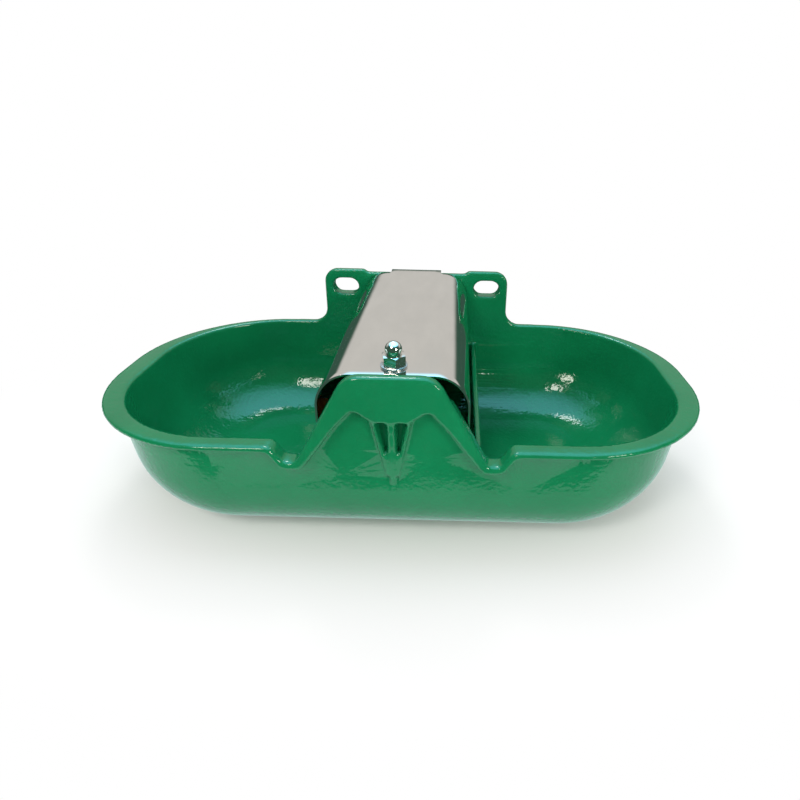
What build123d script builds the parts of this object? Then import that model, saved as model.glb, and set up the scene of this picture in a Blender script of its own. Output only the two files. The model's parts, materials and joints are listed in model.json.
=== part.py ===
from build123d import *
import math
import os

# Wall-hung cast double drinking bowl for cattle, with a float valve under a stainless cover.
# Millimetres. +X to the right, +Y towards the wall, +Z up. The origin is at the middle of the
# base: X on the plane of symmetry, Y half way along the whole depth, Z on the flat underside.

# ---------------------------------------------------------------- casting
BOWL_LENGTH = 520.0          # over the rim flange, left to right
BOWL_DEPTH = 271.0           # front edge of the flange to the rear face of the rim
RIM_HEIGHT = 100.0           # underside to the top of the flange
CORNER_SHARE = 0.45          # corner radius of the flange in plan, over the depth
FLANGE_END = 20.0            # flange width at the two ends
FLANGE_FRONT = 15.0          # flange width at the front
REAR_RIM = 9.0               # thickness of the rear rim and of the back plate
FLANGE_THICKNESS = 5.0
WALL = 6.0                   # bowl wall and floor
BASE_RADIUS = 60.0           # outside, wall to floor
END_DRAFT = 20.0             # each end of the floor is this much shorter than the top
FOOT_STEPS = 8               # bands round the foot, kept few for light facets
EDGE_BREAK = 1.4             # outer edges of the flange, band and lug
EDGE_RADIUS = 1.8            # crest of the partitions

# front lug, heights from the top of the flange
LUG_RISE = 58.0              # top of the lug
LUG_TOP_HALF = 32.0          # half width at the top, before rounding
LUG_SHOULDER = 18.0          # radius of the shoulders
LUG_PROUD = 9.0              # depth of the proud band and boss
LUG_WEB_RISE = 36.0          # top of the thicker lower part of the lug
NOTCH_HALF = 75.0            # centre line to the middle of each notch
NOTCH_FALL = 13.0            # depth of the notch under the flange top
NOTCH_FLOOR = 9.0            # flat width at the bottom of the notch
NOTCH_MOUTH = 13.0           # middle of the notch to where the flange is level again
BAND = 6.5                   # height of the band under the notch
BAND_RUN = 8.0               # level end of the band, from the notch mouth
BOSS_HALF = 13.0             # half width of the boss underside
BOSS_RISE = 22.0             # boss underside
PEAK_HALF = 27.0             # tops of the two recesses beside the boss
PEAK_RISE = 32.0

# rib under the boss
RIB_FALL = 44.0              # tip of the middle rib, under the flange top
RIB_WIDTH = 6.0
SIDE_RIB = 2.6               # thickness of the two outer ribs
SIDE_RIB_FALL = 33.0         # where the outer ribs meet the middle one

# back plate
PLATE_RISE = 57.7            # middle part, under the tongue of the cover
PLATE_HALF = 100.5
PLATE_CORNER = 14.0
PLATE_FOOT = 16.0            # fillet from the plate down to the rim
EAR_STEP = 3.0               # the ears stand this much higher
EAR_WIDTH = 46.5
PAD_DEPTH = 8.0              # wall pads behind the ears
PAD_MARGIN = 4.0             # ear edge to the pad
SLOT_INSET = 23.0            # side of the ear to the middle of its slot
SLOT_LENGTH = 28.0
SLOT_WIDTH = 18.0
SLOT_DROP = 18.7             # plate top to the slot centre
RAIL_WIDTH = 14.0            # wall rails under the ears
RAIL_FALL = 58.0

# float chamber
CHAMBER_HALF = 62.5
PARTITION = 5.0
PARTITION_FALL = 22.0        # top of the partitions under the flange top
PASSAGE_LENGTH = 90.0        # water way at the foot of each partition
PASSAGE_HEIGHT = 26.0

# cast shelf for the cover stud
SHELF_HALF = 17.0
SHELF_REACH = 28.0
SHELF_THICKNESS = 13.0

# ---------------------------------------------------------------- cover
COVER_HALF = 56.5
COVER_FLAT_HALF = 30.0
COVER_SHEET = 1.5
COVER_FALL = 91.0            # top to the lower edge of the sides
COVER_SLOPE = 1.6            # degrees, down towards the front
COVER_GAP = 1.5              # to the casting at both ends
TONGUE_HALF = 27.0
TONGUE_LIP = 10.0            # hook behind the back plate
TONGUE_GAP = 0.6             # hook to the plate

# ---------------------------------------------------------------- cover fastening, M10
STUD_DIAMETER = 10.0
STUD_FROM_FRONT = 15.0       # cover front edge to the stud axis
STUD_DEPTH = 11.0            # screwed into the shelf
STUD_RISE = 12.5
WASHER_DIAMETER = 20.0
WASHER_THICKNESS = 2.0
NUT_FLATS = 16.0
NUT_HEX_HEIGHT = 8.0
NUT_DOME = 13.0
NUT_HEIGHT = 18.0
THREAD_CLEARANCE = 0.05      # radial, between a thread's shank and its hole

# ---------------------------------------------------------------- float valve
INLET_RISE = 20.0            # valve axis above the flange top
INLET_DIAMETER = 20.955      # G 1/2
INLET_HOLE = 22.0
WATERWAY = 11.0
THREAD_GROOVE = 1.5          # relief behind the lock nut, leaves the tail thread free
GROOVE_DEPTH = 0.9
SHANK_REACH = 16.0           # beyond the wall plane
GASKET_THICKNESS = 2.0
GASKET_DIAMETER = 33.0
FLANGE_DISC = 34.0
FLANGE_DISC_THICKNESS = 6.0
VALVE_HEX = 27.0
VALVE_HEX_LENGTH = 6.0
BARREL_DIAMETER = 24.0
BARREL_LENGTH = 34.0
BARREL_BORE = 13.0
OUTLET_DIAMETER = 9.0
BACK_WASHER_DIAMETER = 32.0
BACK_WASHER_THICKNESS = 1.0
BACK_NUT_FLATS = 27.0
BACK_NUT_THICKNESS = 6.3
NOZZLE_LENGTH = 5.0
NOZZLE_LIP = 1.2
NOZZLE_ORIFICE = 5.0
RING_THICKNESS = 1.0
CAP_DIAMETER = 15.6
CAP_HEAD = 4.0
CAP_BODY = 6.0
PLUNGER_STEM = 8.0
PLUNGER_HEAD = 12.0          # length of the guided part
STEM_OUT = 4.0               # stem beyond the cap
SEAL_DIAMETER = 10.0
SEAL_THICKNESS = 3.0
SEAL_POCKET = 2.0
RUNNING = 0.05               # radial clearance of moving fits
STRAINER_LENGTH = 14.0
STRAINER_WALL = 0.9
STRAINER_SLOTS = 8

# ---------------------------------------------------------------- float lever
SWING = 15.0                 # degrees, from the empty bowl to the closed valve
PIVOT_DROP = 18.0            # valve axis to the pivot
PIVOT_AHEAD = 12.5           # cap front to the pivot
PIN_DIAMETER = 5.0
PIN_HEAD = 8.0
PIN_HEAD_THICKNESS = 1.6
PIN_TAIL = 4.5               # pin beyond the cheek, for the split pin
SPLIT_PIN = 1.4
EYE_DIAMETER = 5.2           # eye of the split pin
HUB_DIAMETER = 12.0
HUB_HALF = 7.8
CHEEK_GAP = 0.5              # hub to cheek
CHEEK = 3.0
CHEEK_RADIUS = 7.0
SHORT_ARM = 3.0
SHORT_ARM_HALF = 6.0
SHORT_ARM_ABOVE = 7.0        # beyond the valve axis
LEVER_BAR = 4.0
LEVER_WIDTH = 14.0
SCREW_DIAMETER = 5.0
SCREW_HEAD = 8.5
SCREW_HEAD_LENGTH = 3.2
SCREW_GAP = 0.3              # screw tip to the plunger, bowl empty
SCREW_NUT_FLATS = 8.0
SCREW_NUT = 4.0
FLOAT_REACH = 98.0           # pivot to the float centre, level, valve closed
FLOAT_LENGTH = 72.0
FLOAT_WIDTH = 90.0
FLOAT_HEIGHT = 40.0
FLOAT_RADIUS = 9.0
FLOAT_CENTRE_FALL = 36.0     # float centre under the flange top, valve closed
TONGUE_LENGTH = 34.0         # level end of the lever, on the float
FLOAT_SCREW = 6.0
FLOAT_SCREW_HEAD = 14.0
FLOAT_SCREW_HEAD_HEIGHT = 3.0
FLOAT_SCREW_ABOVE = 9.0
FLOAT_WASHER = 14.0
FLOAT_WASHER_THICKNESS = 1.5
FLOAT_NUT_FLATS = 10.0
FLOAT_NUT = 5.0

# ---------------------------------------------------------------- derived places
TOTAL_DEPTH = BOWL_DEPTH + PAD_DEPTH + SHANK_REACH
FRONT = -TOTAL_DEPTH / 2
RIM_REAR = FRONT + BOWL_DEPTH
WALL_PLANE = RIM_REAR + PAD_DEPTH
SHANK_END = WALL_PLANE + SHANK_REACH
PLATE_FRONT = RIM_REAR - REAR_RIM
INNER_FRONT = FRONT + FLANGE_FRONT
WEB_FRONT = FRONT + LUG_PROUD
HALF_LENGTH = BOWL_LENGTH / 2
CORNER_RADIUS = CORNER_SHARE * BOWL_DEPTH
EAR_INNER = PLATE_HALF - EAR_WIDTH
SLOT_HALF_SPACING = PLATE_HALF - SLOT_INSET
INNER_HALF = HALF_LENGTH - FLANGE_END
RIM = RIM_HEIGHT
LUG_TOP = RIM + LUG_RISE
PLATE_TOP = RIM + PLATE_RISE
EAR_TOP = PLATE_TOP + EAR_STEP
SLOT_HEIGHT = EAR_TOP - SLOT_DROP
NOTCH_INNER = NOTCH_HALF - NOTCH_FLOOR / 2
NOTCH_OUTER = NOTCH_HALF + NOTCH_FLOOR / 2
NOTCH_END = NOTCH_HALF + NOTCH_MOUTH
NOTCH_LOW = RIM - NOTCH_FALL
VALVE_AXIS = RIM + INLET_RISE

FLANGE_FACE = PLATE_FRONT - GASKET_THICKNESS
BARREL_REAR = FLANGE_FACE - FLANGE_DISC_THICKNESS - VALVE_HEX_LENGTH
BARREL_FRONT = BARREL_REAR - BARREL_LENGTH
CAP_FRONT = BARREL_FRONT - CAP_HEAD
CAP_REAR = BARREL_FRONT + CAP_BODY
PIVOT_Y = CAP_FRONT - PIVOT_AHEAD
PIVOT_Z = VALVE_AXIS - PIVOT_DROP
TRAVEL = PIVOT_DROP * math.radians(SWING)
STEM_FRONT = CAP_FRONT - STEM_OUT
PLUNGER_FRONT = CAP_REAR + RUNNING
PLUNGER_REAR = PLUNGER_FRONT + PLUNGER_HEAD
SEAL_REAR = PLUNGER_REAR - SEAL_POCKET + SEAL_THICKNESS
NOZZLE_FRONT = SEAL_REAR + TRAVEL + SCREW_GAP / 2
RING_REAR = NOZZLE_FRONT + NOZZLE_LENGTH + RING_THICKNESS
NUT_REAR = RIM_REAR + BACK_WASHER_THICKNESS + BACK_NUT_THICKNESS
SCREW_TIP = STEM_FRONT - SCREW_GAP
ARM_REAR = PIVOT_Y + SHORT_ARM / 2
ARM_FRONT = PIVOT_Y - SHORT_ARM / 2
FLOAT_Y = PIVOT_Y - FLOAT_REACH
FLOAT_Z = RIM - FLOAT_CENTRE_FALL
FLOAT_TOP = FLOAT_Z + FLOAT_HEIGHT / 2
LEVER_TOP = FLOAT_TOP + LEVER_BAR
COVER_FRONT = INNER_FRONT + COVER_GAP
COVER_REAR = PLATE_FRONT - COVER_GAP
COVER_TOP = PLATE_TOP + COVER_SHEET
STUD_Y = COVER_FRONT + STUD_FROM_FRONT


# ---------------------------------------------------------------- helpers
def rounded_face(corners):
    """Closed outline from (a, b, corner radius), as a face in the sketch plane."""
    points = [(a, b) for a, b, radius in corners]
    radii = [radius for a, b, radius in corners]
    return make_face(FilletPolyline(*points, radius=radii, close=True))


def along_y(face, y_front, y_rear):
    """Extrude a face drawn in X and Z from y_front to y_rear."""
    return extrude(Plane.XZ.offset(-y_rear) * face, y_rear - y_front)


def along_x(face, x_low, x_high):
    """Extrude a face drawn in Y and Z from x_low to x_high."""
    return extrude(Plane.YZ.offset(x_low) * face, x_high - x_low)


def both_sides(half):
    return half + mirror(half, Plane.YZ)


def y_cylinder(diameter, y_front, y_rear, x=0.0, z=0.0):
    plane = Plane(origin=(x, y_rear, z), x_dir=(1, 0, 0), z_dir=(0, -1, 0))
    return extrude(plane * Circle(diameter / 2), y_rear - y_front)


def y_hexagon(flats, y_front, y_rear, z=0.0):
    plane = Plane(origin=(0, y_rear, z), x_dir=(1, 0, 0), z_dir=(0, -1, 0))
    outline = RegularPolygon(flats / 2, 6, major_radius=False)
    return extrude(plane * outline, y_rear - y_front)


def x_cylinder(diameter, x_low, x_high, y, z):
    plane = Plane(origin=(x_low, y, z), x_dir=(0, 1, 0), z_dir=(1, 0, 0))
    return extrude(plane * Circle(diameter / 2), x_high - x_low)


def z_cylinder(diameter, z_low, z_high, x=0.0, y=0.0):
    return extrude(Pos(x, y, z_low) * Circle(diameter / 2), z_high - z_low)


def plan_slab(half, y_front, y_rear, corner, z_low, z_high):
    """Slab with a rounded rectangular plan."""
    outline = RectangleRounded(2 * half, y_rear - y_front, corner)
    return extrude(Pos(0, (y_front + y_rear) / 2, z_low) * outline, z_high - z_low)


def sloped(shape):
    """Turn a level piece of the cover down to the front about its rear seat."""
    seat = Pos(0, PLATE_FRONT, PLATE_TOP)
    return seat * Rot(COVER_SLOPE, 0, 0) * seat.inverse() * shape


def swung(shape, degrees):
    """Turn a piece of the lever about the pivot, float end down for positive degrees."""
    pivot = Pos(0, PIVOT_Y, PIVOT_Z)
    return pivot * Rot(degrees, 0, 0) * pivot.inverse() * shape


# ---------------------------------------------------------------- casting
def drafted_bowl(grow, z_low, base_radius, z_high=RIM_HEIGHT):
    """Inner plan of the bowls grown all round, with drafted ends and a round foot."""
    front, rear = INNER_FRONT - grow, PLATE_FRONT + grow
    half, corner = INNER_HALF + grow, CORNER_RADIUS - FLANGE_END + grow
    turns = [math.radians(90 * step / FOOT_STEPS) for step in range(FOOT_STEPS + 1)]
    levels = [(z_low + base_radius * (1 - math.cos(turn)), base_radius * (1 - math.sin(turn)))
              for turn in turns] + [(z_high, 0)]
    sections = []
    for height, inset in levels:
        draft = END_DRAFT * (RIM - height) / RIM
        outline = RectangleRounded(2 * (half - draft - inset), rear - front - 2 * inset,
                                   corner - draft / 2 - inset)
        sections.append(Pos(0, (front + rear) / 2, height) * outline)
    return loft(sections, ruled=True)


def tub():
    """Outer body of the two bowls, still solid."""
    return drafted_bowl(WALL, 0, BASE_RADIUS)


def rim_flange():
    """Flange all round, which follows the notches and the lug at the front."""
    slab = plan_slab(HALF_LENGTH, FRONT, RIM_REAR, CORNER_RADIUS, RIM - FLANGE_THICKNESS, RIM)
    gap_depth = 2 * (WEB_FRONT - FRONT)
    slab -= Pos(0, FRONT, RIM) * Box(2 * (NOTCH_END + BAND_RUN), gap_depth, 4 * FLANGE_THICKNESS)
    rim = slab + lug_band()
    outside = rim.faces().filter_by(GeomType.CYLINDER)
    outside = outside.filter_by(lambda face: abs(face.radius - CORNER_RADIUS) < 0.01)
    outside += [rim.faces().sort_by(axis)[end] for axis in (Axis.X, Axis.Y) for end in (0, -1)]
    edges = ShapeList(edge for face in outside for edge in face.edges())
    return chamfer(edges.filter_by(Axis.Z, reverse=True), EDGE_BREAK)


def cavity():
    """The hollow of the two bowls and the chamber."""
    return drafted_bowl(0, WALL, BASE_RADIUS - WALL, RIM + 1)


def flank(height):
    """Half width of the lug at a height, along its straight flank."""
    rise = LUG_TOP - NOTCH_LOW
    return LUG_TOP_HALF + (NOTCH_INNER - LUG_TOP_HALF) * (LUG_TOP - height) / rise


def lug_band():
    """Proud band that carries the flange through the notch and up round the lug."""
    level = NOTCH_END + BAND_RUN
    low = NOTCH_LOW - BAND
    half = rounded_face([
        (0, LUG_TOP, 0),
        (LUG_TOP_HALF, LUG_TOP, LUG_SHOULDER),
        (NOTCH_INNER, NOTCH_LOW, 5),
        (NOTCH_OUTER, NOTCH_LOW, 4),
        (NOTCH_END, RIM, 8),
        (level, RIM, 0),
        (level, RIM - FLANGE_THICKNESS, 0),
        (NOTCH_END + 3, RIM - FLANGE_THICKNESS, 8),
        (NOTCH_OUTER + 2.5, low, 8),
        (NOTCH_INNER - 4, low, 6),
        (flank(RIM - 8) - 9.5, RIM - 8, 30),
        (flank(RIM + 15) - 13.5, RIM + 15, 30),
        (PEAK_HALF, RIM + PEAK_RISE, 5),
        (BOSS_HALF + 6, RIM + BOSS_RISE + 4, 2),
        (BOSS_HALF, RIM + BOSS_RISE, 3),
        (0, RIM + BOSS_RISE, 0),
    ])
    return both_sides(along_y(half, FRONT, WEB_FRONT))


def lug_web():
    """Wall of the lug behind the band."""
    low = RIM - RIB_FALL
    half = rounded_face([
        (0, RIM + LUG_WEB_RISE, 0),
        (flank(RIM + LUG_WEB_RISE), RIM + LUG_WEB_RISE, 0),
        (NOTCH_INNER, NOTCH_LOW, 5),
        (NOTCH_OUTER, NOTCH_LOW, 4),
        (NOTCH_END, RIM, 8),
        (NOTCH_END + 10, RIM, 0),
        (NOTCH_END + 10, low, 0),
        (0, low, 0),
    ])
    return both_sides(along_y(half, WEB_FRONT, INNER_FRONT))


def notch_cut():
    """What is cut out of the flange and the wall at the two notches."""
    above = RIM + 3
    half = rounded_face([
        (flank(above), above, 0),
        (NOTCH_INNER, NOTCH_LOW, 5),
        (NOTCH_OUTER, NOTCH_LOW, 4),
        (NOTCH_END, RIM, 8),
        (NOTCH_END + 10, RIM, 0),
        (NOTCH_END + 10, above, 0),
    ])
    return both_sides(along_y(half, FRONT - 5, INNER_FRONT + 20))


def boss_ribs():
    """Middle rib and two outer ribs that run the boss out into the front wall."""
    top = RIM + BOSS_RISE + 2
    middle_side = Polyline((FRONT + 0.6, top), (INNER_FRONT - 1, top),
                           (INNER_FRONT - 1, RIM - RIB_FALL), (WEB_FRONT, RIM - RIB_FALL), close=True)
    middle = along_x(make_face(middle_side), -RIB_WIDTH / 2, RIB_WIDTH / 2)
    wedge_side = Polyline((FRONT + 1.2, top), (INNER_FRONT - 1, top),
                          (INNER_FRONT - 1, RIM - RIB_FALL), (WEB_FRONT, RIM - RIB_FALL), close=True)
    wedge = along_x(make_face(wedge_side), -2 * BOSS_HALF, 2 * BOSS_HALF)
    foot = RIM - SIDE_RIB_FALL
    foot_half = RIB_WIDTH / 2
    outer = Polyline((foot_half, foot), (BOSS_HALF + 2, top), (BOSS_HALF + 2 - SIDE_RIB, top),
                     (foot_half - SIDE_RIB, foot), close=True)
    ribs = both_sides(along_y(make_face(outer), FRONT, INNER_FRONT)) & wedge
    return middle + ribs


def back_plate():
    """Plate with two ears, wall pads and wall rails."""
    half = rounded_face([
        (0, PLATE_TOP, 0),
        (EAR_INNER, PLATE_TOP, 1.5),
        (EAR_INNER + EAR_STEP, EAR_TOP, 1.5),
        (PLATE_HALF, EAR_TOP, PLATE_CORNER),
        (PLATE_HALF, RIM, PLATE_FOOT),
        (PLATE_HALF + 2 * PLATE_FOOT, RIM, 0),
        (PLATE_HALF + 2 * PLATE_FOOT, RIM - 15, 0),
        (0, RIM - 15, 0),
    ])
    plate = both_sides(along_y(half, PLATE_FRONT, RIM_REAR))
    pad_low = SLOT_HEIGHT - SLOT_WIDTH / 2 - 9
    pad = rounded_face([
        (EAR_INNER + PAD_MARGIN, EAR_TOP - PAD_MARGIN, 8),
        (PLATE_HALF - PAD_MARGIN, EAR_TOP - PAD_MARGIN, PLATE_CORNER - PAD_MARGIN),
        (PLATE_HALF - PAD_MARGIN, pad_low, PLATE_CORNER - PAD_MARGIN),
        (EAR_INNER + PAD_MARGIN, pad_low, 8),
    ])
    rail = rounded_face([
        (SLOT_HALF_SPACING - RAIL_WIDTH / 2, pad_low + 4, 0),
        (SLOT_HALF_SPACING + RAIL_WIDTH / 2, pad_low + 4, 0),
        (SLOT_HALF_SPACING + RAIL_WIDTH / 2, RIM - RAIL_FALL, 6),
        (SLOT_HALF_SPACING - RAIL_WIDTH / 2, RIM - RAIL_FALL, 6),
    ])
    behind = PLATE_FRONT + WALL - 1
    pads = both_sides(along_y(pad, RIM_REAR - 1, WALL_PLANE) + along_y(rail, behind, WALL_PLANE))
    return plate + pads


def wall_slots():
    slot = Pos(SLOT_HALF_SPACING, SLOT_HEIGHT) * SlotOverall(SLOT_LENGTH, SLOT_WIDTH)
    return both_sides(along_y(slot, PLATE_FRONT - 5, WALL_PLANE + 5))


def partitions():
    """The two low walls of the float chamber, with a water way at the foot of each."""
    low = WALL - 2
    top = RIM - PARTITION_FALL
    middle = (INNER_FRONT + PLATE_FRONT) / 2
    side = rounded_face([
        (INNER_FRONT - 2, low, 0),
        (INNER_FRONT - 2, top, 0),
        (PLATE_FRONT + 2, top, 0),
        (PLATE_FRONT + 2, low, 0),
    ])
    wall = along_x(side, CHAMBER_HALF, CHAMBER_HALF + PARTITION)
    crest = wall.edges().filter_by(Axis.Y).group_by(Axis.Z)[-1]
    wall = fillet(crest, EDGE_RADIUS)
    way = rounded_face([
        (middle - PASSAGE_LENGTH / 2, WALL, 0),
        (middle - PASSAGE_LENGTH / 2, WALL + PASSAGE_HEIGHT, 10),
        (middle + PASSAGE_LENGTH / 2, WALL + PASSAGE_HEIGHT, 10),
        (middle + PASSAGE_LENGTH / 2, WALL, 0),
    ])
    wall -= along_x(way, CHAMBER_HALF - 5, CHAMBER_HALF + PARTITION + 5)
    return both_sides(wall)


def stud_shelf():
    """Bracket behind the lug that carries the front of the cover."""
    reach = INNER_FRONT + SHELF_REACH
    high = LUG_TOP
    low = RIM + BOSS_RISE
    side = make_face(Polyline((WEB_FRONT, high), (reach, high), (reach, low + SHELF_THICKNESS),
                              (INNER_FRONT + 2, RIM), (WEB_FRONT, RIM), close=True))
    shelf = along_x(side, -SHELF_HALF, SHELF_HALF)
    upright = shelf.edges().filter_by(Axis.Z).group_by(Axis.Y)[-1]
    shelf = fillet(upright, 6)
    above = Pos(0, (WEB_FRONT + PLATE_FRONT) / 2, PLATE_TOP + 25) * Box(200, 400, 50)
    front_keep = Pos(0, WEB_FRONT - 50, RIM) * Box(400, 100, 400)
    return shelf - (sloped(above) - front_keep)


def stud_hole():
    return sloped(z_cylinder(STUD_DIAMETER + 2 * THREAD_CLEARANCE, PLATE_TOP - STUD_DEPTH,
                             PLATE_TOP + 5, 0, STUD_Y))


def bowl_casting():
    casting = tub() + lug_web() + rim_flange() - cavity() - notch_cut()
    casting += boss_ribs()
    casting += back_plate()
    casting += stud_shelf()
    casting += partitions() & cavity_block()
    casting -= wall_slots()
    casting -= y_cylinder(INLET_HOLE, PLATE_FRONT - 5, WALL_PLANE, z=VALVE_AXIS)
    casting -= stud_hole()
    return casting


def cavity_block():
    """The hollow grown by a little, so that the partitions end inside the walls."""
    return drafted_bowl(1.0, WALL - 1.0, BASE_RADIUS - WALL)


# ---------------------------------------------------------------- cover
def cover_section(shrink):
    """Arch of the cover in X and Z, drawn in by shrink."""
    half = COVER_HALF - shrink
    radius = COVER_HALF - COVER_FLAT_HALF - shrink
    low = COVER_TOP - COVER_FALL - shrink
    return rounded_face([
        (-half, low, 0),
        (-half, COVER_TOP - shrink, radius),
        (half, COVER_TOP - shrink, radius),
        (half, low, 0),
    ])


def float_cover():
    """Folded sheet with upright ends, and a tongue that hooks behind the back plate."""
    over = COVER_FALL / 4
    arch = along_y(cover_section(0), COVER_FRONT - over, COVER_REAR + over)
    arch -= along_y(cover_section(COVER_SHEET), COVER_FRONT - over - 1, COVER_REAR + over + 1)
    length = COVER_REAR - COVER_FRONT
    arch = sloped(arch) & Pos(0, COVER_FRONT + length / 2, RIM) * Box(4 * COVER_HALF, length, 4 * RIM)
    hook = RIM_REAR + TONGUE_GAP
    tongue_side = Polyline((COVER_REAR - 1, PLATE_TOP), (hook, PLATE_TOP), (hook, PLATE_TOP - TONGUE_LIP),
                           (hook + COVER_SHEET, PLATE_TOP - TONGUE_LIP), (hook + COVER_SHEET, COVER_TOP),
                           (COVER_REAR - 1, COVER_TOP), close=True)
    tongue = along_x(make_face(tongue_side), -TONGUE_HALF, TONGUE_HALF)
    hole = z_cylinder(STUD_DIAMETER + 1.0, PLATE_TOP - 5, COVER_TOP + 5, 0, STUD_Y)
    return arch + sloped(tongue) - sloped(hole)


def cover_stud():
    return sloped(z_cylinder(STUD_DIAMETER, PLATE_TOP - STUD_DEPTH, PLATE_TOP + STUD_RISE, 0, STUD_Y))


def cover_washer():
    disc = z_cylinder(WASHER_DIAMETER, COVER_TOP, COVER_TOP + WASHER_THICKNESS, 0, STUD_Y)
    hole = z_cylinder(STUD_DIAMETER + 1.0, COVER_TOP - 1, COVER_TOP + WASHER_THICKNESS + 1, 0, STUD_Y)
    return sloped(disc - hole)


def cover_cap_nut():
    """Domed nut: hexagon below, a short neck and a round dome above."""
    seat = COVER_TOP + WASHER_THICKNESS
    hexagon = extrude(Pos(0, STUD_Y, seat) * RegularPolygon(NUT_FLATS / 2, 6, major_radius=False,
                                                            rotation=30), NUT_HEX_HEIGHT)
    chamfer_cone = Pos(0, STUD_Y, seat) * extrude(Circle(NUT_FLATS / 2 * 1.13), NUT_HEX_HEIGHT)
    rim = chamfer_cone.edges().group_by(Axis.Z)[-1]
    hexagon &= chamfer(rim, 1.2)
    radius = NUT_DOME / 2
    low, high = seat + NUT_HEX_HEIGHT, seat + NUT_HEIGHT
    outline = Polyline((0, low - 1), (radius, low - 1), (radius, high - radius), (0.87 * radius, high - radius / 2),
                       (0.5 * radius, high - 0.13 * radius), (0, high), close=True)
    dome = Pos(0, STUD_Y, 0) * revolve(Plane.XZ * make_face(outline), Axis.Z)
    bore = z_cylinder(STUD_DIAMETER + 2 * THREAD_CLEARANCE, seat - 1,
                      PLATE_TOP + STUD_RISE + 0.5, 0, STUD_Y)
    return sloped(hexagon + dome - bore)


# ---------------------------------------------------------------- float valve
def valve_body():
    """Shank, flange, hexagon and barrel in one brass casting, with the two pivot cheeks."""
    axis = VALVE_AXIS
    body = y_cylinder(INLET_DIAMETER, FLANGE_FACE - 1, SHANK_END, z=axis)
    flange = y_cylinder(FLANGE_DISC, FLANGE_FACE - FLANGE_DISC_THICKNESS, FLANGE_FACE, z=axis)
    body += chamfer(flange.edges().group_by(Axis.Y)[0], 1.0)
    body += y_hexagon(VALVE_HEX, BARREL_REAR, BARREL_REAR + VALVE_HEX_LENGTH, axis)
    body += y_cylinder(BARREL_DIAMETER, BARREL_FRONT, BARREL_REAR + 1, z=axis)
    cheek_side = make_face(Polyline(
        (BARREL_FRONT + 16, axis), (BARREL_FRONT, axis), (PIVOT_Y - CHEEK_RADIUS + 1, PIVOT_Z + 3),
        (PIVOT_Y, PIVOT_Z), (PIVOT_Y + 3, PIVOT_Z - CHEEK_RADIUS + 1), (BARREL_FRONT + 16, axis - 8),
        close=True))
    inner = HUB_HALF + CHEEK_GAP
    cheek = along_x(cheek_side, inner, inner + CHEEK)
    cheek += x_cylinder(2 * CHEEK_RADIUS, inner, inner + CHEEK, PIVOT_Y, PIVOT_Z)
    body += both_sides(cheek)
    body -= x_cylinder(PIN_DIAMETER + 2 * THREAD_CLEARANCE, -30, 30, PIVOT_Y, PIVOT_Z)
    body -= y_cylinder(BARREL_BORE, BARREL_FRONT - 1, RING_REAR, z=axis)
    body -= y_cylinder(WATERWAY, RING_REAR - 1, SHANK_END + 1, z=axis)
    body -= ring(INLET_DIAMETER + 2, INLET_DIAMETER - 2 * GROOVE_DEPTH, NUT_REAR, NUT_REAR + THREAD_GROOVE)
    outlet_y = NOZZLE_FRONT - OUTLET_DIAMETER / 2 - 1
    body -= z_cylinder(OUTLET_DIAMETER, axis - BARREL_DIAMETER, axis, 0, outlet_y)
    return body


def ring(outer, inner, y_front, y_rear):
    disc = y_cylinder(outer, y_front, y_rear, z=VALVE_AXIS)
    return disc - y_cylinder(inner, y_front - 1, y_rear + 1, z=VALVE_AXIS)


def inlet_gasket():
    return ring(GASKET_DIAMETER, INLET_DIAMETER + 0.4, FLANGE_FACE, PLATE_FRONT)


def inlet_washer():
    return ring(BACK_WASHER_DIAMETER, INLET_DIAMETER + 0.6, RIM_REAR, RIM_REAR + BACK_WASHER_THICKNESS)


def inlet_lock_nut():
    face = RIM_REAR + BACK_WASHER_THICKNESS
    nut = y_hexagon(BACK_NUT_FLATS, face, face + BACK_NUT_THICKNESS, VALVE_AXIS)
    hole = y_cylinder(INLET_DIAMETER + 2 * THREAD_CLEARANCE, face - 1, face + BACK_NUT_THICKNESS + 1,
                      z=VALVE_AXIS)
    return nut - hole


def inlet_strainer():
    """Slotted cup in the open end of the shank."""
    front = SHANK_END - STRAINER_LENGTH
    outer = WATERWAY - 2 * THREAD_CLEARANCE
    cup = y_cylinder(outer, front, SHANK_END, z=VALVE_AXIS)
    cup -= y_cylinder(outer - 2 * STRAINER_WALL, front + STRAINER_WALL, SHANK_END + 1, z=VALVE_AXIS)
    for turn in range(STRAINER_SLOTS // 2):
        slot = Pos(0, SHANK_END - STRAINER_LENGTH / 2, 0) * Box(WATERWAY + 4, STRAINER_LENGTH - 5, 1.4)
        cup -= Pos(0, 0, VALVE_AXIS) * Rot(0, turn * 360 / STRAINER_SLOTS, 0) * slot
    return cup


def valve_nozzle():
    """Seat insert with a raised lip round the orifice."""
    outer = BARREL_BORE - 2 * THREAD_CLEARANCE
    nozzle = y_cylinder(outer, NOZZLE_FRONT + NOZZLE_LIP, NOZZLE_FRONT + NOZZLE_LENGTH, z=VALVE_AXIS)
    nozzle += y_cylinder(NOZZLE_ORIFICE + 2.4, NOZZLE_FRONT, NOZZLE_FRONT + NOZZLE_LENGTH, z=VALVE_AXIS)
    return nozzle - y_cylinder(NOZZLE_ORIFICE, NOZZLE_FRONT - 1, NOZZLE_FRONT + NOZZLE_LENGTH + 1,
                               z=VALVE_AXIS)


def nozzle_ring():
    return ring(BARREL_BORE - 2 * THREAD_CLEARANCE, NOZZLE_ORIFICE + 2.4, RING_REAR - RING_THICKNESS, RING_REAR)


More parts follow.
